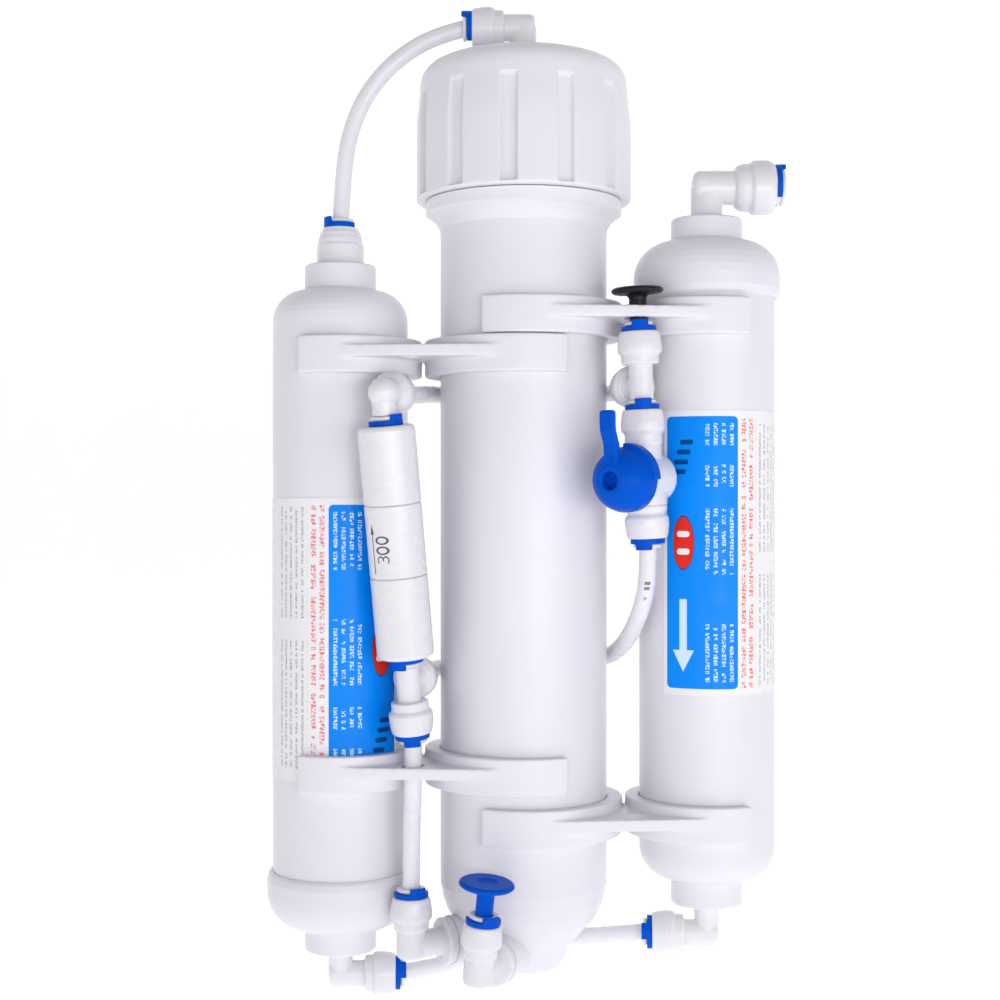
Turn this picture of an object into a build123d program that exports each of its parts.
from build123d import *
import math
import os

# A portable aquarium reverse osmosis unit, in millimetres.
# The membrane vessel's axis is Z, and +Z is the capped end. -Y is the front, where the valve handle is.
# The origin is on the vessel's axis, in the free stretch of tube that a wall clip grips.

# ---- vessel ----
VESSEL_R = 31.4
VESSEL_BORE_R = 27.2
VESSEL_TOP = 112.0
VESSEL_RIM = 158.0
VESSEL_FLOOR = -152.0
VESSEL_BOTTOM = -175.5
FOOT_PROFILE = (
    (13.2, -175.5), (14.4, -174.5), (18.0, -167.5), (22.8, -161.4), (26.4, -157.6), (28.9, -153.4),
    (30.4, -149.0), (VESSEL_R, -144.0),
)
COLLAR_PROFILE = ((VESSEL_R, 98.0), (31.5, 101.4), (33.0, 104.4), (35.2, 106.6))
COLLAR_R = 37.0
NECK_R = 33.6
THREAD_RISE = 1.4
THREAD_WIDTH = 2.4
THREAD_PITCH = 6.0
THREAD_TURNS = 6
SOCKET_R = 8.75
SOCKET_TOP = -136.0
SOCKET_FLOOR = -158.0
SOCKET_WALL_R = 11.5
WATERWAY_SIDE_R = 2.4

# ---- bosses on the vessel's foot: turn from the front, height, radius and end ----
BOSS_START = 13.0
CONCENTRATE_TURN = 62.2
CONCENTRATE_LEVEL = -162.5
CONCENTRATE_REACH = 46.7
CONCENTRATE_BOSS = (8.8, 31.0)
PERMEATE_TURN = 21.8
PERMEATE_LEVEL = -166.5
PERMEATE_REACH = 44.5
PERMEATE_BOSS = (9.0, 30.0)
PERMEATE_LEAN = (0.12, 0.045)

# ---- vessel cap ----
CAP_BOTTOM = 112.4
CAP_TOP = 167.5
CAP_R = 39.1
CAP_PANEL_R = 40.4
CAP_PANEL_TOP = 152.0
CAP_SHOULDER = 156.0
CAP_BORE_R = 35.4
CAP_CEILING = 161.6
FLUTES = 12
FLUTE_WIDTH = 6.0
FLUTE_R = 38.3
FLUTE_TURN = -8.5

# ---- inline filter cartridges ----
FILTER_X = 69.3
FILTER_R = 25.4
FILTER_WALL = 2.6
FILTER_LENGTH = 258.0
FILTER_NECK_R = 13.4
FILTER_SHOULDER = 21.5
FILTER_CAP_R = 27.5
FILTER_CAP_LENGTH = 30.5
CARBON_TOP = 88.5
CARBON_TURN = 15.0
SEDIMENT_BOTTOM = -152.0
LABEL_THICKNESS = 0.2
LABEL_LENGTH = 103.8
LABEL_TURN = 195.0
LABEL_START = -134.5
SEDIMENT_LABEL_LOW = 80.9
CARBON_LABEL_HIGH = 0.7

# ---- double clips ----
CLIP_HEIGHT = 13.6
CLIP_WEB = 4.2
CLIP_WEB_RISE = 1.0
CLIP_VESSEL_R = 35.4
CLIP_FILTER_R = 29.6
CLIP_VESSEL_SHIFT = 1.8
CLIP_FILTER_SHIFT = 1.2
CLIP_REACH = 117.0
CLIP_HOLE_R = 3.9
CLIP_HOLES = ((41.1, -27.0), (40.4, -24.8))
CLIP_LEVELS = {
    "clip_upper_left": (-1, 53.0),
    "clip_lower_left": (-1, -99.5),
    "clip_upper_right": (1, 67.0),
    "clip_lower_right": (1, -118.0),
}

# ---- push-fit ports ----
TUBE_R = 3.175
TUBE_BORE_R = 2.0
FEED_TUBE_R = 4.7625
GRIP_CLEARANCE = 0.03
INSERTION = 13.4
COLLET_WALL = 1.25
COLLET_DEPTH = 6.0
COLLET_OUT = 3.4
COLLET_RIM = 1.3
SEAL_DEPTH = 8.0
LOCK_WIDTH = 1.8
LOCK_WALL = 1.8
LOCK_LUG = 2.2
LOCK_LUG_WIDTH = 6.0
PIPE_THREAD_R = 6.5
PIPE_HOLE_R = 6.55
PIPE_THREAD_LENGTH = 8.5
WATERWAY_R = 2.1
STEM_NECK_R = 4.4
ELBOW_OVERRUN = 0.85
SHOULDER_R = 7.2
SHOULDER_HEIGHT = 0.8

# ---- where the ports sit and which way the clips' lugs face ----
CAP_ELBOW_LEVEL = 178.8
FEED_ELBOW_LEVEL = 118.2
CARBON_ELBOW_LEVEL = -179.4
SEDIMENT_ELBOW_LEVEL = -163.9
FLUSH_TEE_DROP = 8.6
RESTRICTOR_ELBOW_RISE = 11.8
DRAIN_TEE_DROP = 19.5
SIDE_REACH = 15.5
LEFT_GAP = Vector(-37.5, -6.8, 0)
RIGHT_GAP = Vector(37.5, -6.8, 0)
FRONT = (0, -1, 0)

# ---- flow restrictor ----
RESTRICTOR_R = 10.3
RESTRICTOR_TOP = Vector(-49.5, -37.0, 26.5)
RESTRICTOR_END = Vector(-42.9, -28.5, -56.6)
RESTRICTOR_JOINTS = (28.0, 54.0)

# ---- flush valve column ----
COLUMN_TOP = Vector(41.4, -27.0, 61.0)
COLUMN_END = Vector(44.7, -25.5, -14.0)
VALVE_CENTRE_DROP = 53.3
VALVE_TOP_DROP = 28.3
VALVE_END_DROP = 75.0
VALVE_R = 9.2
BALL_R = 5.3
BALL_BORE_R = 2.3
STEM_R = 2.5
HANDLE_AXIS = Vector(-0.6, -0.8, -0.0424)
HANDLE_START = 13.0
HANDLE_R = 11.7
HANDLE_SKIRT = 2.6
LEVER_WIDTH = 5.4
LEVER_FRONT = ((24.8, 12.4), (17.5, 12.3), (12.9, 10.4), (9.0, 10.2), (3.4, 10.8))
LEVER_BACK = ((3.4, 5.0), (8.0, 6.4), (12.9, 7.8), (17.5, 9.7), (24.8, 9.8))
STOP_RISE = 1.4

# ---- plugs ----
PLUG_REACH = 13.2
DRAIN_PLUG_R = 9.5
PERMEATE_PLUG_R = 10.0

BASE = (Align.CENTER, Align.CENTER, Align.MIN)


# ---- general shapes ----
def turned(*points):
    """A solid of revolution about Z from (radius, height) points."""
    outline = Polyline(*[(r, 0, z) for r, z in points], close=True)
    return revolve(make_face(outline), Axis.Z)


def ring(outer, inner, low, high):
    """A plain tube about Z."""
    return turned((inner, low), (outer, low), (outer, high), (inner, high))


def dome(start, end, steps=8):
    """Points of a quarter ellipse from start, upright, to end, level; both are (radius, height)."""
    points = []
    for step in range(steps + 1):
        turn = math.radians(90 * step / steps)
        radius = end[0] + (start[0] - end[0]) * math.cos(turn)
        height = start[1] + (end[1] - start[1]) * math.sin(turn)
        points.append((radius, height))
    return points


def facing(origin, out, side=(0, -1, 0.01)):
    """A plane at origin whose Z is out and whose X is the part of side square to it."""
    z_dir = Vector(*out).normalized()
    side = Vector(*side)
    x_dir = side - z_dir * side.dot(z_dir)
    return Plane(origin=origin, x_dir=x_dir, z_dir=z_dir)


def rod(start, end, radius):
    """A cylinder between two points."""
    reach = Vector(*end) - Vector(*start)
    side = (1, 0, 0) if abs(reach.normalized().X) < 0.9 else (0, 1, 0)
    return facing(start, reach, side) * Cylinder(radius, reach.length, align=BASE)


def ball(centre, radius):
    return Pos(*centre) * Sphere(radius)


def shoulder_ring(foot, outward):
    """The low round shoulder that a threaded fitting seats on."""
    return rod(foot, foot + outward * SHOULDER_HEIGHT, SHOULDER_R)


# ---- push-fit ports ----
class Port:
    """One push-fit mouth: place.z_dir points out of it and place.x_dir to its locking clip's lug."""

    def __init__(self, centre, out, reach, lug, tube_r=TUBE_R, body_r=8.0, barrel=12.0):
        self.centre = Vector(*centre)
        self.out = Vector(*out).normalized()
        self.place = facing(self.centre + self.out * reach, self.out, lug)
        self.tube_r = tube_r
        self.body_r = body_r
        self.barrel = barrel
        self.collet_r = tube_r + COLLET_WALL

    def mouth(self, height=0.0):
        return self.place.origin + self.out * height

    def body(self):
        r = self.body_r
        low = -self.barrel
        return self.place * turned(
            (0, low), (r - 1.6, low), (r - 1.2, low + 0.4), (r - 1.2, -8.8), (r - 0.3, -8.0), (r, -7.2),
            (r, -4.8), (r - 0.4, -2.0), (r - 0.7, -0.6), (r - 1.1, 0), (0, 0),
        )

    def cavity(self):
        pocket = self.collet_r + 0.1
        seat = self.tube_r + 0.06
        return self.place * turned(
            (0, -INSERTION), (seat, -INSERTION), (seat, -SEAL_DEPTH), (pocket, -SEAL_DEPTH),
            (pocket, 1), (0, 1),
        )

    def collet(self):
        grip = self.tube_r + GRIP_CLEARANCE
        rim = COLLET_OUT - COLLET_RIM
        return self.place * turned(
            (grip, -COLLET_DEPTH), (self.collet_r, -COLLET_DEPTH), (self.collet_r, rim),
            (self.collet_r + 0.75, rim), (self.collet_r + 0.75, COLLET_OUT - 0.3),
            (self.collet_r + 0.45, COLLET_OUT), (grip + 0.3, COLLET_OUT), (grip, COLLET_OUT - 0.3),
        )

    def seal(self):
        room = (self.collet_r + 0.1 - self.tube_r) / 2
        middle = self.tube_r + room + 0.01
        return self.place * (Pos(0, 0, -(COLLET_DEPTH + SEAL_DEPTH) / 2) * Torus(middle, room - 0.03))

    def lock(self):
        """The C-shaped locking clip, open on the side away from its lug."""
        inner = self.collet_r + 0.05
        outer = inner + LOCK_WALL * self.tube_r / TUBE_R
        width = LOCK_WIDTH
        clip = ring(outer, inner, 0.05, 0.05 + width)
        mouth = Box(2 * outer, 2 * inner, 2 * width, align=(Align.MAX, Align.CENTER, Align.CENTER))
        clip -= Pos(0, 0, width / 2) * mouth
        ends = Box(outer, 3 * outer, 3 * width, align=(Align.MAX, Align.CENTER, Align.CENTER))
        clip -= Pos(-0.62 * outer, 0, 0) * ends
        lug = ring(outer, inner + 0.95, width, width + LOCK_LUG)
        lug &= Box(2 * outer, LOCK_LUG_WIDTH, 20, align=(Align.MIN, Align.CENTER, Align.CENTER))
        return self.place * (clip + lug)


def drilled(body, ports, channels):
    """Cuts the ports' cavities and the waterways, given as (start, end, radius), out of a body."""
    for port in ports:
        body -= port.cavity()
    for start, end, radius in channels:
        body -= rod(start, end, radius)
    return body


def direction(turn, lean=0.0):
    """A level unit vector turned from the front (-Y) towards -X, in degrees."""
    return Vector(-math.sin(math.radians(turn)), -math.cos(math.radians(turn)), lean)


DOWN_LEFT = (RESTRICTOR_END - RESTRICTOR_TOP).normalized()
DOWN_RIGHT = (COLUMN_END - COLUMN_TOP).normalized()

CAP_ELBOW_AT = Vector(0, 0, CAP_ELBOW_LEVEL)
FEED_ELBOW_AT = Vector(FILTER_X, 0, FEED_ELBOW_LEVEL)
CARBON_ELBOW_AT = Vector(-FILTER_X, 0, CARBON_ELBOW_LEVEL)
SEDIMENT_ELBOW_AT = Vector(FILTER_X, 0, SEDIMENT_ELBOW_LEVEL)
CONCENTRATE_AT = direction(CONCENTRATE_TURN) * CONCENTRATE_REACH + Vector(0, 0, CONCENTRATE_LEVEL)
PERMEATE_AT = direction(PERMEATE_TURN) * PERMEATE_REACH + Vector(0, 0, PERMEATE_LEVEL)
PERMEATE_OUT = (
    Vector(0, 0, 1)
    + direction(PERMEATE_TURN - 90) * PERMEATE_LEAN[0]
    + direction(PERMEATE_TURN) * PERMEATE_LEAN[1]
)
FLUSH_TEE_AT = RESTRICTOR_END + DOWN_LEFT * FLUSH_TEE_DROP
RESTRICTOR_ELBOW_AT = RESTRICTOR_TOP - DOWN_LEFT * RESTRICTOR_ELBOW_RISE
DRAIN_TEE_AT = COLUMN_TOP + DOWN_RIGHT * DRAIN_TEE_DROP
VALVE_AT = COLUMN_TOP + DOWN_RIGHT * VALVE_CENTRE_DROP


def level_towards(start, target):
    """The level direction from one point towards another."""
    return (Vector(target.X, target.Y, 0) - Vector(start.X, start.Y, 0)).normalized()


PORTS = {
    "cap": Port(CAP_ELBOW_AT, (-1, 0, 0), 19.5, (0, -0.5, 1), body_r=7.7),
    "carbon_out": Port((-FILTER_X, 0, 88), (0, 0, 1), 14.8, (-1, -0.5, 0), body_r=7.4, barrel=10.0),
    "carbon_in": Port(CARBON_ELBOW_AT, (0.997, 0.075, 0), 20.8, (0, -1, 0.5), barrel=11.5),
    "sediment_out": Port(SEDIMENT_ELBOW_AT, (-0.997, 0.075, 0), 20.6, (0, -1, 0.3)),
    "feed_in": Port(FEED_ELBOW_AT, (1, 0, 0), 25.8, (0, 0.1, 1), FEED_TUBE_R, 9.9, 15.5),
    "concentrate": Port(CONCENTRATE_AT, (0, 0, 1), 17.7, (0.6, -1, 0), body_r=7.6),
    "permeate": Port(PERMEATE_AT, PERMEATE_OUT, 17.6, (0.55, -1, 0), body_r=7.3),
    "restrictor_top": Port(RESTRICTOR_TOP, -DOWN_LEFT, 0.0, (1.4, -1, 0), barrel=9.5),
    "restrictor_end": Port(RESTRICTOR_END, DOWN_LEFT, 0.0, (-0.6, -1, 0), barrel=9.5),
    "restrictor_side": Port(RESTRICTOR_ELBOW_AT, direction(-162), 14.5, (0, 0, 1), barrel=9.6),
    "flush_side": Port(
        FLUSH_TEE_AT, level_towards(FLUSH_TEE_AT, LEFT_GAP), SIDE_REACH, (0, 0, 1), barrel=9.6
    ),
    "flush_down": Port(FLUSH_TEE_AT, DOWN_LEFT, 19.5, FRONT),
    "drain_top": Port(DRAIN_TEE_AT, -DOWN_RIGHT, 19.5, FRONT),
    "drain_side": Port(
        DRAIN_TEE_AT, level_towards(DRAIN_TEE_AT, RIGHT_GAP), SIDE_REACH, (0, 0, 1), barrel=9.6
    ),
    "valve_top": Port(
        VALVE_AT, -DOWN_RIGHT, VALVE_CENTRE_DROP - VALVE_TOP_DROP, FRONT, barrel=13.0
    ),
    "valve_end": Port(
        VALVE_AT, DOWN_RIGHT, VALVE_END_DROP - VALVE_CENTRE_DROP, (-0.4, -1, 0), barrel=11.0
    ),
}
USER_PORTS = {"feed_in": "feed_clip", "permeate": "permeate_clip", "drain_top": "drain_clip"}


# ---- vessel ----
def boss(turn, level, radius, end):
    height = Vector(0, 0, level)
    return rod(direction(turn) * BOSS_START + height, direction(turn) * end + height, radius)


def foot_waterways():
    """The drilled ways from the two bosses to the vessel's floor and to the core tube's socket."""
    out = direction(CONCENTRATE_TURN)
    level = Vector(0, 0, CONCENTRATE_LEVEL)
    overlap = Vector(0, 0, WATERWAY_SIDE_R)
    brine_end = out * 17.5 + level
    brine_rise = out * 17.5 + Vector(0, 0, VESSEL_FLOOR + 2)
    permeate_start = direction(PERMEATE_TURN) * 22 + Vector(0, 0, PERMEATE_LEVEL)
    permeate_end = Vector(0, 0, PERMEATE_LEVEL)
    return [
        (out * 24 + level, brine_end),
        (brine_end - overlap, brine_rise),
        (permeate_start, permeate_end),
        (permeate_end - overlap, Vector(0, 0, SOCKET_FLOOR + 1)),
    ]


def thread_rib(radius, rise, low):
    """One ring that stands for a turn of thread; a negative rise points inwards."""
    root = radius - math.copysign(1, rise)
    high = low + THREAD_WIDTH
    return turned(
        (root, low), (radius, low), (radius + rise, low + 0.7), (radius + rise, high - 0.7),
        (radius, high), (root, high),
    )


def vessel_tube():
    outer = [(0, VESSEL_BOTTOM), *FOOT_PROFILE, *COLLAR_PROFILE, (COLLAR_R, 107.6)]
    outer += [(COLLAR_R, VESSEL_TOP), (NECK_R, VESSEL_TOP), (NECK_R, VESSEL_RIM)]
    inner = [(VESSEL_BORE_R, VESSEL_RIM), (VESSEL_BORE_R, -141), (25.6, -147), (22, VESSEL_FLOOR)]
    inner += [(SOCKET_WALL_R, VESSEL_FLOOR), (SOCKET_WALL_R, SOCKET_TOP), (SOCKET_R, SOCKET_TOP)]
    inner += [(SOCKET_R, SOCKET_FLOOR), (0, SOCKET_FLOOR)]
    vessel = turned(*outer, *inner)
    for turn_number in range(THREAD_TURNS):
        low = VESSEL_TOP + 6 + turn_number * THREAD_PITCH
        vessel += thread_rib(NECK_R, THREAD_RISE, low)
    for turn, level, size in (
        (CONCENTRATE_TURN, CONCENTRATE_LEVEL, CONCENTRATE_BOSS),
        (PERMEATE_TURN, PERMEATE_LEVEL, PERMEATE_BOSS),
    ):
        vessel += boss(turn, level, *size)
        end = direction(turn) * size[1] + Vector(0, 0, level)
        vessel -= rod(end + direction(turn), end - direction(turn) * 9.5, PIPE_HOLE_R)
    for start, finish in foot_waterways():
        vessel -= rod(start, finish, WATERWAY_SIDE_R)
    return vessel


def vessel_cap():
    shoulder = dome((CAP_R, CAP_SHOULDER), (24, 165.8))
    cap = turned(
        (CAP_BORE_R, CAP_BOTTOM), (CAP_R, CAP_BOTTOM), *shoulder, (12, CAP_TOP - 0.5), (10, CAP_TOP),
        (0, CAP_TOP), (0, CAP_CEILING), (CAP_BORE_R, CAP_CEILING),
    )
    cap += turned(
        (CAP_R - 1, CAP_BOTTOM), (CAP_PANEL_R - 0.5, CAP_BOTTOM), (CAP_PANEL_R, CAP_BOTTOM + 0.5),
        (CAP_PANEL_R, CAP_PANEL_TOP - 0.8), (CAP_PANEL_R - 0.8, CAP_PANEL_TOP), (CAP_R - 1, CAP_PANEL_TOP),
    )
    flute_low = CAP_BOTTOM + 1.2
    flute_height = CAP_PANEL_TOP + 1 - flute_low
    flute = Pos(0, -FLUTE_R, flute_low) * Box(
        FLUTE_WIDTH, 8, flute_height, align=(Align.CENTER, Align.MAX, Align.MIN)
    )
    for number in range(FLUTES):
        cap -= Rot(0, 0, FLUTE_TURN + number * 360 / FLUTES) * flute
    for turn_number in range(THREAD_TURNS):
        low = VESSEL_TOP + 9 + turn_number * THREAD_PITCH
        cap += thread_rib(CAP_BORE_R, -THREAD_RISE, low)
    return cap - rod((0, 0, CAP_CEILING - 1), (0, 0, CAP_TOP + 1), PIPE_HOLE_R)


def cap_seal():
    return Pos(0, 0, (VESSEL_RIM + CAP_CEILING) / 2) * Torus(30.4, 1.7)


# ---- membrane element ----
def membrane_roll():
    return ring(23.0, 8.45, -128, 124)


def membrane_core_tube():
    core = ring(8.4, 5.5, -157, 141)
    core += ring(5.6, 0, 137, 141)
    for level in (-149.0, -142.0):
        core -= ring(9, 7.4, level - 0.8, level + 0.8)
    return core


def stub_seals():
    return [Pos(0, 0, level) * Torus(8.06, 0.64) for level in (-149.0, -142.0)]


def membrane_end_caps():
    caps = []
    for low, high in ((-134.0, -128.05), (124.05, 130.0)):
        cap = ring(23.0, 8.45, low, high)
        for number in range(6):
            cap -= Rot(0, 0, number * 60) * Pos(15.6, 0, (low + high) / 2) * Cylinder(4.2, 10)
        caps.append(cap)
    return caps


def brine_seal():
    return turned(
        (23.05, 124.6), (24.2, 124.6), (27.15, 129.2), (26.3, 129.2), (24.4, 126.2), (23.05, 126.2),
    )


# ---- cartridges: built upright with the plain neck at z = 0, then set in place ----
def cartridge_place(name):
    if name == "carbon":
        return Pos(-FILTER_X, 0, CARBON_TOP) * Rot(0, 0, CARBON_TURN) * Rot(0, 180, 0)
    return Pos(FILTER_X, 0, SEDIMENT_BOTTOM)


def filter_shell(name):
    inner_r = FILTER_R - FILTER_WALL
    end = FILTER_LENGTH - 18
    outer = [(PIPE_HOLE_R, 0), (FILTER_NECK_R - 0.6, 0), (FILTER_NECK_R, 0.6), (FILTER_NECK_R, 9.0)]
    rise = [(r, FILTER_SHOULDER - (z - FILTER_SHOULDER)) for r, z in dome(
        (FILTER_R, FILTER_SHOULDER), (FILTER_NECK_R + 0.4, FILTER_SHOULDER + 11.8))]
    inside = [(inner_r, end), (inner_r, FILTER_SHOULDER + 1), (inner_r - 2.2, FILTER_SHOULDER - 5)]
    inside += [(11.0, 13.2), (PIPE_HOLE_R, 13.2)]
    shell = turned(*outer, *reversed(rise), (FILTER_R, end), *inside)
    return cartridge_place(name) * shell


def filter_end_cap(name):
    top = FILTER_LENGTH
    low = top - FILTER_CAP_LENGTH
    skirt_r = FILTER_R + 0.03
    crown = dome((FILTER_CAP_R, top - 22.5), (FILTER_NECK_R + 0.4, top - 8.6))
    outer = [(skirt_r, low), (26.1, low), (26.9, low + 1.0), (FILTER_CAP_R, low + 3.2), *crown]
    outer += [(FILTER_NECK_R, top - 7.8), (FILTER_NECK_R, top - 0.6), (FILTER_NECK_R - 0.6, top)]
    inside = [(PIPE_HOLE_R, top), (PIPE_HOLE_R, top - 13), (11.0, top - 13), (21.0, top - 15.4)]
    inside += [(22.8, top - 17.9), (skirt_r, top - 17.9)]
    return cartridge_place(name) * turned(*outer, *inside)


def filter_label(name):
    """A printed paper sleeve part of the way round the shell."""
    low = SEDIMENT_LABEL_LOW if name == "sediment" else CARBON_TOP - CARBON_LABEL_HIGH
    sleeve = ring(FILTER_R + 0.02 + LABEL_THICKNESS, FILTER_R + 0.02, low, low + LABEL_LENGTH)
    uncovered = 360 - LABEL_TURN
    slab = make_face(Polyline(*[
        (0, 0), *[(60 * math.cos(math.radians(a)), 60 * math.sin(math.radians(a)))
                  for a in (0, uncovered / 3, 2 * uncovered / 3, uncovered)]
    ], close=True))
    wedge = Pos(0, 0, low - 1) * Rot(0, 0, LABEL_START - uncovered) * extrude(slab, LABEL_LENGTH + 2)
    return cartridge_place(name) * (sleeve - wedge)


def carbon_bed():
    return cartridge_place("carbon") * ring(FILTER_R - FILTER_WALL - 0.1, 0, 27, FILTER_LENGTH - 24)


def carbon_pads():
    pads = []
    for low in (22.8, FILTER_LENGTH - 23.8):
        pads.append(cartridge_place("carbon") * ring(FILTER_R - FILTER_WALL - 0.2, 0, low, low + 4))
    return pads


def sediment_core():
    return cartridge_place("sediment") * ring(20, 6, 26, FILTER_LENGTH - 24)


def sediment_core_discs():
    lower = ring(20.5, 4, 23.0, 25.9)
    upper = ring(20.5, 4, FILTER_LENGTH - 23.9, FILTER_LENGTH - 20)
    return [cartridge_place("sediment") * disc for disc in (lower, upper)]


# ---- double clips: built for the right side, mirrored for the left ----
def arm_gap(centre_x, facing_turn):
    """A wedge that opens a clip's ring on the side away from its web."""
    half = 180 - CLIP_REACH
    points = [(0, 0)]
    for step in range(-2, 3):
        turn = math.radians(facing_turn + step * half / 2)
        points.append((70 * math.cos(turn), 70 * math.sin(turn)))
    wedge = extrude(make_face(Polyline(*points, close=True)), 2 * CLIP_HEIGHT)
    return Pos(centre_x, 0, -CLIP_HEIGHT) * wedge


def double_clip(side, level):
    height = CLIP_HEIGHT
    low = -height / 2
    vessel_ring = Pos(CLIP_VESSEL_SHIFT, 0, low) * Cylinder(CLIP_VESSEL_R, height, align=BASE)
    filter_x = FILTER_X - CLIP_FILTER_SHIFT
    filter_ring = Pos(filter_x, 0, low) * Cylinder(CLIP_FILTER_R, height, align=BASE)
    vessel_ring -= arm_gap(0, 180)
    filter_ring -= arm_gap(FILTER_X, 0)
    outline = Polyline(
        (CLIP_VESSEL_SHIFT, -CLIP_VESSEL_R), (filter_x, -CLIP_FILTER_R), (filter_x, 0),
        (CLIP_VESSEL_SHIFT, 0), close=True,
    )
    web = Pos(0, 0, CLIP_WEB_RISE - CLIP_WEB / 2) * extrude(make_face(outline), CLIP_WEB)
    for centre in CLIP_HOLES:
        web -= Pos(*centre, 0) * Cylinder(CLIP_HOLE_R, height)
    clip = vessel_ring + filter_ring + web
    clip -= Cylinder(VESSEL_R + 0.05, 2 * height)
    clip -= Pos(FILTER_X, 0, 0) * Cylinder(FILTER_R + LABEL_THICKNESS + 0.1, 2 * height)
    if side < 0:
        clip = mirror(clip, Plane.YZ)
    return Pos(0, 0, level) * clip


# ---- fittings ----
def elbow_leg(start, centre, radius, rim=1.6):
    """An elbow's leg: it runs past the elbow's centre to a flat end with a rounded rim."""
    reach = centre - start
    length = reach.length + ELBOW_OVERRUN * radius
    side = (1, 0, 0) if abs(reach.normalized().X) < 0.9 else (0, 1, 0)
    corner = dome((radius, length - rim), (radius - rim, length), 4)
    return facing(start, reach, side) * turned((0, 0), (radius, 0), *corner, (0, length))


def cap_elbow():
    port = PORTS["cap"]
    centre = CAP_ELBOW_AT
    foot = Vector(0, 0, CAP_TOP + 0.05)
    body = port.body() + elbow_leg(port.mouth(-11), centre, 5.0)
    body += rod(foot, centre, 4.9) + shoulder_ring(foot, Vector(0, 0, 1))
    tip = foot - Vector(0, 0, PIPE_THREAD_LENGTH)
    body += rod(tip, foot, PIPE_THREAD_R)
    ways = [(port.mouth(-INSERTION + 1), centre, WATERWAY_R), (centre, tip, WATERWAY_R)]
    return drilled(body, [port], ways)


def carbon_outlet_connector():
    port = PORTS["carbon_out"]
    foot = Vector(-FILTER_X, 0, CARBON_TOP + 0.05)
    tip = foot - Vector(0, 0, PIPE_THREAD_LENGTH)
    collar = turned(
        (0, 0), (8.6, 0), (8.85, 0.3), (8.85, 7.4), (8.4, 8.0), (8.3, 10.2), (7.85, 10.7), (7.75, 12.2),
        (7.0, 12.8), (6.7, 14.2), (0, 14.2),
    )
    body = port.body() + Pos(*foot) * collar + rod(tip, foot, PIPE_THREAD_R)
    return drilled(body, [port], [(port.mouth(-INSERTION + 1), tip, WATERWAY_R)])


def filter_elbow(port, centre, foot):
    """An elbow screwed into a cartridge's neck."""
    outward = (centre - foot).normalized()
    body = port.body() + elbow_leg(port.mouth(-8), centre, 4.9)
    body += rod(foot, centre + outward * 0.5, 4.6) + shoulder_ring(foot, outward)
    tip = foot - outward * PIPE_THREAD_LENGTH
    body += rod(tip, foot, PIPE_THREAD_R)
    ways = [(port.mouth(-INSERTION + 1), centre, WATERWAY_R), (centre, tip, WATERWAY_R)]
    return drilled(body, [port], ways)


def carbon_inlet_elbow():
    foot = Vector(-FILTER_X, 0, CARBON_TOP - FILTER_LENGTH - 0.05)
    return filter_elbow(PORTS["carbon_in"], CARBON_ELBOW_AT, foot)


def sediment_outlet_elbow():
    foot = Vector(FILTER_X, 0, SEDIMENT_BOTTOM - 0.05)
    return filter_elbow(PORTS["sediment_out"], SEDIMENT_ELBOW_AT, foot)


def feed_inlet_elbow():
    """The larger elbow that takes the supply hose."""
    port = PORTS["feed_in"]
    centre = FEED_ELBOW_AT
    foot = Vector(FILTER_X, 0, SEDIMENT_BOTTOM + FILTER_LENGTH + 0.05)
    shell = turned(
        (0, -15.2), (7.4, -15.2), (8.3, -14.2), (8.9, -12.6), (9.0, -9.7), (9.7, -9.1), (10.25, -8.3),
        (10.25, -3.4), (9.9, -1.9), (9.1, -0.7), (8.2, 0), (0, 0),
    )
    body = port.place * shell + elbow_leg(port.mouth(-15), centre, 6.4, 3.2)
    body += rod(foot, centre, 6.0) + shoulder_ring(foot, Vector(0, 0, 1))
    tip = foot - Vector(0, 0, PIPE_THREAD_LENGTH)
    body += rod(tip, foot, PIPE_THREAD_R)
    ways = [(port.mouth(-INSERTION + 1), centre, 3.2), (centre, tip, 3.2)]
    return drilled(body, [port], ways)


def vessel_elbow(port, centre, turn, size):
    """An elbow screwed into one of the vessel's side bosses."""
    inward = -direction(turn)
    foot = Vector(0, 0, centre.Z) - inward * (size[1] + 0.05)
    body = port.body() + elbow_leg(port.mouth(-11), centre, 5.4)
    body += rod(foot, centre, 5.1) + rod(foot, foot - inward * 3.4, size[0] - 0.4)
    tip = foot + inward * PIPE_THREAD_LENGTH
    body += rod(tip, foot, PIPE_THREAD_R)
    ways = [(port.mouth(-INSERTION + 1), centre, WATERWAY_R), (centre, tip, WATERWAY_R)]
    return drilled(body, [port], ways)


def concentrate_elbow():
    return vessel_elbow(PORTS["concentrate"], CONCENTRATE_AT, CONCENTRATE_TURN, CONCENTRATE_BOSS)


def permeate_elbow():
    return vessel_elbow(PORTS["permeate"], PERMEATE_AT, PERMEATE_TURN, PERMEATE_BOSS)


def stem_fitting(centre, into, ports, knuckle):
    """A fitting with a plain stem that plugs into another port, and one or two ports of its own."""
    axis = (into.mouth() - centre).normalized()
    tip = into.mouth() + axis * (INSERTION - 0.3)
    body = ball(centre, knuckle) + rod(into.mouth() - axis * (COLLET_OUT + 0.15), centre, STEM_NECK_R)
    body += rod(centre, tip, TUBE_R)
    ways = [(centre, tip, WATERWAY_R - 0.2)]
    for port in ports:
        body += port.body() + rod(port.mouth(1 - port.barrel), centre, knuckle)
        ways.append((port.mouth(-INSERTION + 1), centre, WATERWAY_R))
    return drilled(body, ports, ways)


def flush_tee():
    ports = [PORTS["flush_side"], PORTS["flush_down"]]
    return stem_fitting(FLUSH_TEE_AT, PORTS["restrictor_end"], ports, STEM_NECK_R)


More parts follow.
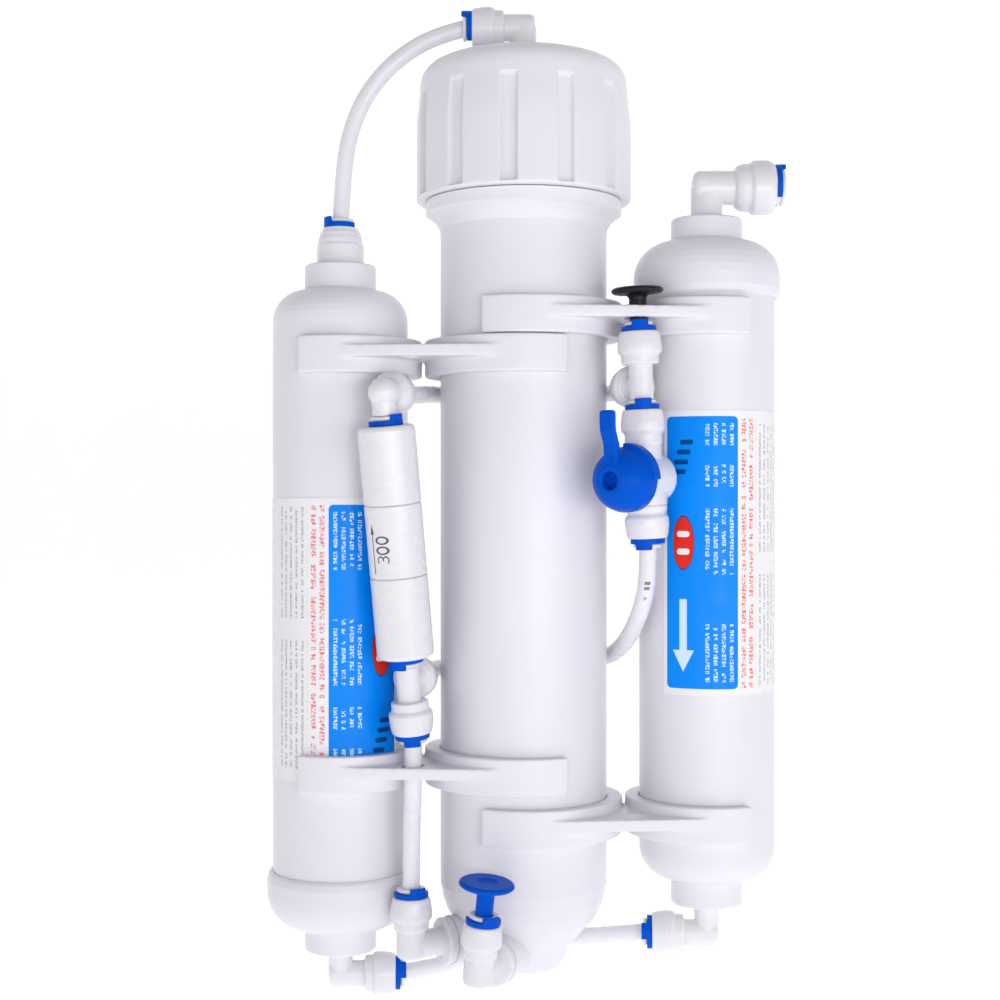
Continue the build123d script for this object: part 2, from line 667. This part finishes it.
def drain_tee():
    ports = [PORTS["drain_side"], PORTS["drain_top"]]
    return stem_fitting(DRAIN_TEE_AT, PORTS["valve_top"], ports, STEM_NECK_R)


def restrictor_elbow():
    return stem_fitting(RESTRICTOR_ELBOW_AT, PORTS["restrictor_top"], [PORTS["restrictor_side"]], 5.4)


# ---- flow restrictor: three shells along one axis, a capillary inside ----
def along_restrictor():
    return facing(RESTRICTOR_TOP, DOWN_LEFT, (1, 0, 0))


def restrictor_length():
    return (RESTRICTOR_END - RESTRICTOR_TOP).length


def restrictor_end_shell(port, length):
    """A socket shell from its port's mouth to the middle sleeve."""
    shell = turned(
        (0, 0), (RESTRICTOR_R - 1.4, 0), (RESTRICTOR_R - 0.5, 0.5), (RESTRICTOR_R, 1.6),
        (RESTRICTOR_R, length - 0.5), (RESTRICTOR_R - 0.4, length - 0.1), (0, length - 0.1),
    )
    shell = facing(port.mouth(), -port.out, (1, 0, 0)) * shell
    bore = rod(port.mouth(-INSERTION + 1), port.mouth(-length - 1), 3.4)
    return shell - port.cavity() - bore


def restrictor_upper():
    return restrictor_end_shell(PORTS["restrictor_top"], RESTRICTOR_JOINTS[0])


def restrictor_lower():
    return restrictor_end_shell(PORTS["restrictor_end"], restrictor_length() - RESTRICTOR_JOINTS[1])


def restrictor_sleeve():
    low, high = RESTRICTOR_JOINTS
    sleeve = turned(
        (3.4, low), (RESTRICTOR_R - 0.4, low), (RESTRICTOR_R, low + 0.4), (RESTRICTOR_R, high - 0.4),
        (RESTRICTOR_R - 0.4, high), (3.4, high),
    )
    return along_restrictor() * sleeve


def restrictor_capillary():
    """The plug with the fine bore that holds the pressure on the membrane."""
    return along_restrictor() * ring(3.35, 0.4, RESTRICTOR_JOINTS[0] - 8, RESTRICTOR_JOINTS[1] + 8)


# ---- flush valve ----
def handle_frame():
    """Z out through the handle, X up along the lever at rest."""
    return facing(VALVE_AT, HANDLE_AXIS, (0, 0, 1))


def valve_column():
    return facing(VALVE_AT, DOWN_RIGHT, (1, 0, 0))


def valve_body():
    port = PORTS["valve_top"]
    body = port.body() + rod(port.mouth(-12), VALVE_AT, 6.4)
    body += rod(VALVE_AT, port.centre + DOWN_RIGHT * 9.6, 7.7)
    housing = dome((VALVE_R, -6.2), (4.0, -9.8), 5)
    body += handle_frame() * turned(
        (0, -9.8), *reversed(housing), (VALVE_R, 10.0), (VALVE_R - 0.8, 11.0), (6.6, 11.2), (6.0, 12.2),
        (0, 12.2),
    )
    body -= valve_column() * Cylinder(5.6, 14.0)
    body -= valve_column() * Pos(0, 0, 4.95) * Cylinder(6.65, 6.0, align=BASE)
    body -= handle_frame() * Cylinder(STEM_R + 0.05, 20, align=BASE)
    body -= handle_frame() * Pos(0, 0, 8.2) * Cylinder(3.9, 1.8, align=BASE)
    return drilled(body, [port], [(port.mouth(-INSERTION + 1), VALVE_AT, WATERWAY_R)])


def valve_end():
    """The lower barrel, screwed into the body against the ball's seat."""
    port = PORTS["valve_end"]
    body = port.body() + valve_column() * turned(
        (0, 9.65), (7.2, 9.65), (7.5, 9.95), (7.5, 11.4), (7.0, 12.0), (6.8, 14), (0, 14),
    )
    body += valve_column() * turned((0, 10), (6.6, 10), (6.6, 5.0), (0, 5.0))
    return drilled(body, [port], [(VALVE_AT, port.mouth(-INSERTION + 1), WATERWAY_R)])


def valve_seats():
    seats = []
    for side, outer, far in ((-1, 5.5, 6.9), (1, 5.5, 4.9)):
        low, high = sorted((side * 2.9, side * far))
        seat = ring(outer, BALL_BORE_R, low, high) - Sphere(BALL_R + 0.05)
        seats.append(valve_column() * seat)
    return seats


def valve_stem_seal():
    return handle_frame() * (Pos(0, 0, 9.1) * Torus(STEM_R + 0.04 + 0.65, 0.65))


def valve_ball():
    sphere = valve_column() * (Sphere(BALL_R) - Cylinder(BALL_BORE_R, 4 * BALL_R))
    slot = Pos(0, 0, BALL_R - 1.4) * Box(3.1, 1.7, 4, align=BASE)
    return sphere - handle_frame() * slot


def valve_stem():
    stem = Pos(0, 0, BALL_R + 0.1) * Cylinder(STEM_R, 12.5 - BALL_R - 0.1, align=BASE)
    stem += Pos(0, 0, BALL_R - 1.3) * Box(3.0, 1.6, 2, align=BASE)
    stem += Pos(0, 0, 12.4) * Box(3.4, 3.4, 4.0, align=BASE)
    return handle_frame() * stem


def lever():
    """The bar that rises from the knob's front, as (reach, height above HANDLE_START) outlines."""
    outline = [(reach, HANDLE_START + height) for reach, height in (*LEVER_FRONT, *LEVER_BACK)]
    bar = extrude(make_face(Polyline(*outline, close=True)), LEVER_WIDTH / 2, both=True)
    end = LEVER_FRONT[0][0]
    bar = fillet([edge for edge in bar.edges() if edge.center().X > end - 0.01], 0.9)
    return Plane((0, 0, 0), x_dir=(1, 0, 0), z_dir=(0, -1, 0)) * bar


def valve_handle():
    """A round skirted knob with a lever and a wider stop sector."""
    start = HANDLE_START
    rim = start - HANDLE_SKIRT
    knob = turned(
        (0, start + 1.2), (9.6, start + 1.2), (9.6, rim), (HANDLE_R, rim), (HANDLE_R, start + 1.6),
        (11.3, start + 2.8), (10.9, start + 4.6), (10.2, start + 6.2), (9.2, start + 7.8),
        (7.6, start + 9.4), (5.8, start + 10.6), (4.8, start + 11.0), (0, start + 11.0),
    )
    sector = ring(HANDLE_R + STOP_RISE, 9.6, rim, start + 1.6)
    sector &= Box(30, 30, 60, align=(Align.MIN, Align.MAX, Align.CENTER))
    handle = knob + sector + lever()
    handle -= Pos(0, 0, start + 7.0) * Cylinder(3.3, 10, align=BASE)
    handle -= Pos(0, 0, 12.3) * Box(3.5, 3.5, 4.2, align=BASE)
    return handle_frame() * handle


# ---- plugs ----
def port_plug(port, disc_r, disc_low):
    """A mushroom-headed plug pushed into a port: its stem stops short of the seat."""
    stem_r = port.tube_r
    plug = turned(
        (0, -PLUG_REACH), (stem_r - 0.4, -PLUG_REACH), (stem_r, -PLUG_REACH + 0.6),
        (stem_r, disc_low - 1.2), (stem_r + 0.5, disc_low - 0.4), (stem_r + 1.3, disc_low),
        (disc_r - 0.9, disc_low + 0.5),
        (disc_r, disc_low + 1.3), (disc_r - 0.2, disc_low + 2.1), (disc_r - 1.0, disc_low + 2.6),
        (4.2, disc_low + 2.5), (3.2, disc_low + 1.9), (0, disc_low + 1.7),
    )
    return port.place * plug


def drain_plug():
    return port_plug(PORTS["drain_top"], DRAIN_PLUG_R, 13.2)


def permeate_plug():
    return port_plug(PORTS["permeate"], PERMEATE_PLUG_R, 12.6)


# ---- tubes: each route is the free stretch between two collets, chosen by hand ----
ROUTES = {
    "tube_feed_arc": ("cap", "carbon_out", [
        (-33.0, 0, 176.0), (-47.0, 0.5, 168.0), (-58.5, 1.0, 156.0), (-65.5, 1.0, 141.0),
        (-68.3, 0.5, 125.0),
    ]),
    "tube_cross": ("sediment_out", "carbon_in", [
        (33.0, 3.4, -165.6), (20.0, 12.0, -168.6), (7.0, 20.6, -171.0), (-8.5, 21.0, -173.4),
        (-22.0, 12.5, -176.2), (-34.5, 4.4, -178.6),
    ]),
    "tube_concentrate": ("flush_down", "concentrate", [
        (-40.3, -24.9, -101.0), (-41.2, -22.4, -120.0),
    ]),
    "tube_restrictor": ("restrictor_side", "drain_side", [
        (-38.6, -7.0, 39.2), (-36.8, 6.5, 40.6), (-30.4, 22.6, 41.0), (-17.5, 34.0, 41.0),
        (0.0, 38.4, 41.0), (17.5, 34.0, 41.1), (30.4, 22.6, 41.2), (36.8, 6.5, 41.4),
    ]),
    "tube_flush": ("valve_end", "flush_side", [
        (45.0, -24.8, -28.0), (43.2, -20.6, -39.0), (40.2, -12.6, -48.6), (37.0, -0.5, -55.8),
        (33.2, 14.0, -60.6), (23.8, 28.6, -63.4), (8.5, 37.8, -64.6), (-9.0, 37.8, -65.0),
        (-24.2, 28.8, -65.2), (-34.0, 14.6, -65.2), (-37.2, 1.0, -65.1),
    ]),
}


def free_route(name):
    """The route's points, from one collet's face to the other's."""
    start, end, between = ROUTES[name]
    points = [PORTS[start].mouth(COLLET_OUT)]
    points += [Vector(*point) for point in between]
    points.append(PORTS[end].mouth(COLLET_OUT))
    return points


def corner_radii(points):
    radii = []
    for before, corner, after in zip(points, points[1:], points[2:]):
        turn = math.radians((corner - before).get_angle(after - corner))
        shorter = min((corner - before).length, (after - corner).length)
        radii.append(0.45 * shorter / math.tan(turn / 2))
    return radii


def water_tube(name):
    """A tube along its free route, with a straight end pushed into each port."""
    points = free_route(name)
    radii = corner_radii(points)
    path = FilletPolyline(*points, radius=radii)
    outer = sweep(facing(points[0], points[1] - points[0], (0.3, 0.4, 1)) * Circle(TUBE_R), path)
    inner = sweep(facing(points[0], points[1] - points[0], (0.3, 0.4, 1)) * Circle(TUBE_BORE_R), path)
    start, end, between = ROUTES[name]
    for port in (PORTS[start], PORTS[end]):
        outer += rod(port.mouth(-INSERTION + 0.2), port.mouth(COLLET_OUT), TUBE_R)
        inner += rod(port.mouth(-INSERTION - 0.8), port.mouth(COLLET_OUT), TUBE_BORE_R)
    expected = math.pi * TUBE_R**2 * (path.length + 2 * (INSERTION - 0.2 + COLLET_OUT))
    print(name, "length", round(path.length, 1), "radii", [round(r, 1) for r in radii])
    print(name, "volume over section times length", round(outer.volume / expected, 4))
    return outer - inner


# ---- writing ----
def save(name, shape):
    """Writes one node: a single piece, or a list of alike pieces as a group."""
    solids = []
    for piece in shape if isinstance(shape, list) else [shape]:
        solids += piece.solids()
    whole = solids[0] if len(solids) == 1 else Compound(solids)
    export_step(whole, f"parts/{name}.step")


SINGLE_PIECES = (
    vessel_tube, vessel_cap, cap_seal, membrane_roll, membrane_core_tube, membrane_end_caps, brine_seal,
    stub_seals, carbon_bed, carbon_pads, sediment_core, sediment_core_discs, cap_elbow,
    carbon_outlet_connector, carbon_inlet_elbow, sediment_outlet_elbow, feed_inlet_elbow,
    concentrate_elbow, permeate_elbow, flush_tee, drain_tee, restrictor_elbow, restrictor_upper,
    restrictor_sleeve, restrictor_lower, restrictor_capillary, valve_body, valve_end, valve_seats,
    valve_stem_seal, valve_ball, valve_stem, valve_handle, drain_plug, permeate_plug,
)


def main():
    os.makedirs("parts", exist_ok=True)
    for make in SINGLE_PIECES:
        save(make.__name__, make())
    for name in ("carbon", "sediment"):
        save(f"{name}_shell", filter_shell(name))
        save(f"{name}_end_cap", filter_end_cap(name))
        save(f"{name}_label", filter_label(name))
    for name, (side, level) in CLIP_LEVELS.items():
        save(name, double_clip(side, level))
    for name in ROUTES:
        save(name, water_tube(name))
    save("collets", [port.collet() for name, port in PORTS.items() if name != "feed_in"])
    save("feed_collet", PORTS["feed_in"].collet())
    save("port_seals", [port.seal() for port in PORTS.values()])
    save("locking_clips", [port.lock() for name, port in PORTS.items() if name not in USER_PORTS])
    for port_name, clip_name in USER_PORTS.items():
        save(clip_name, PORTS[port_name].lock())


main()
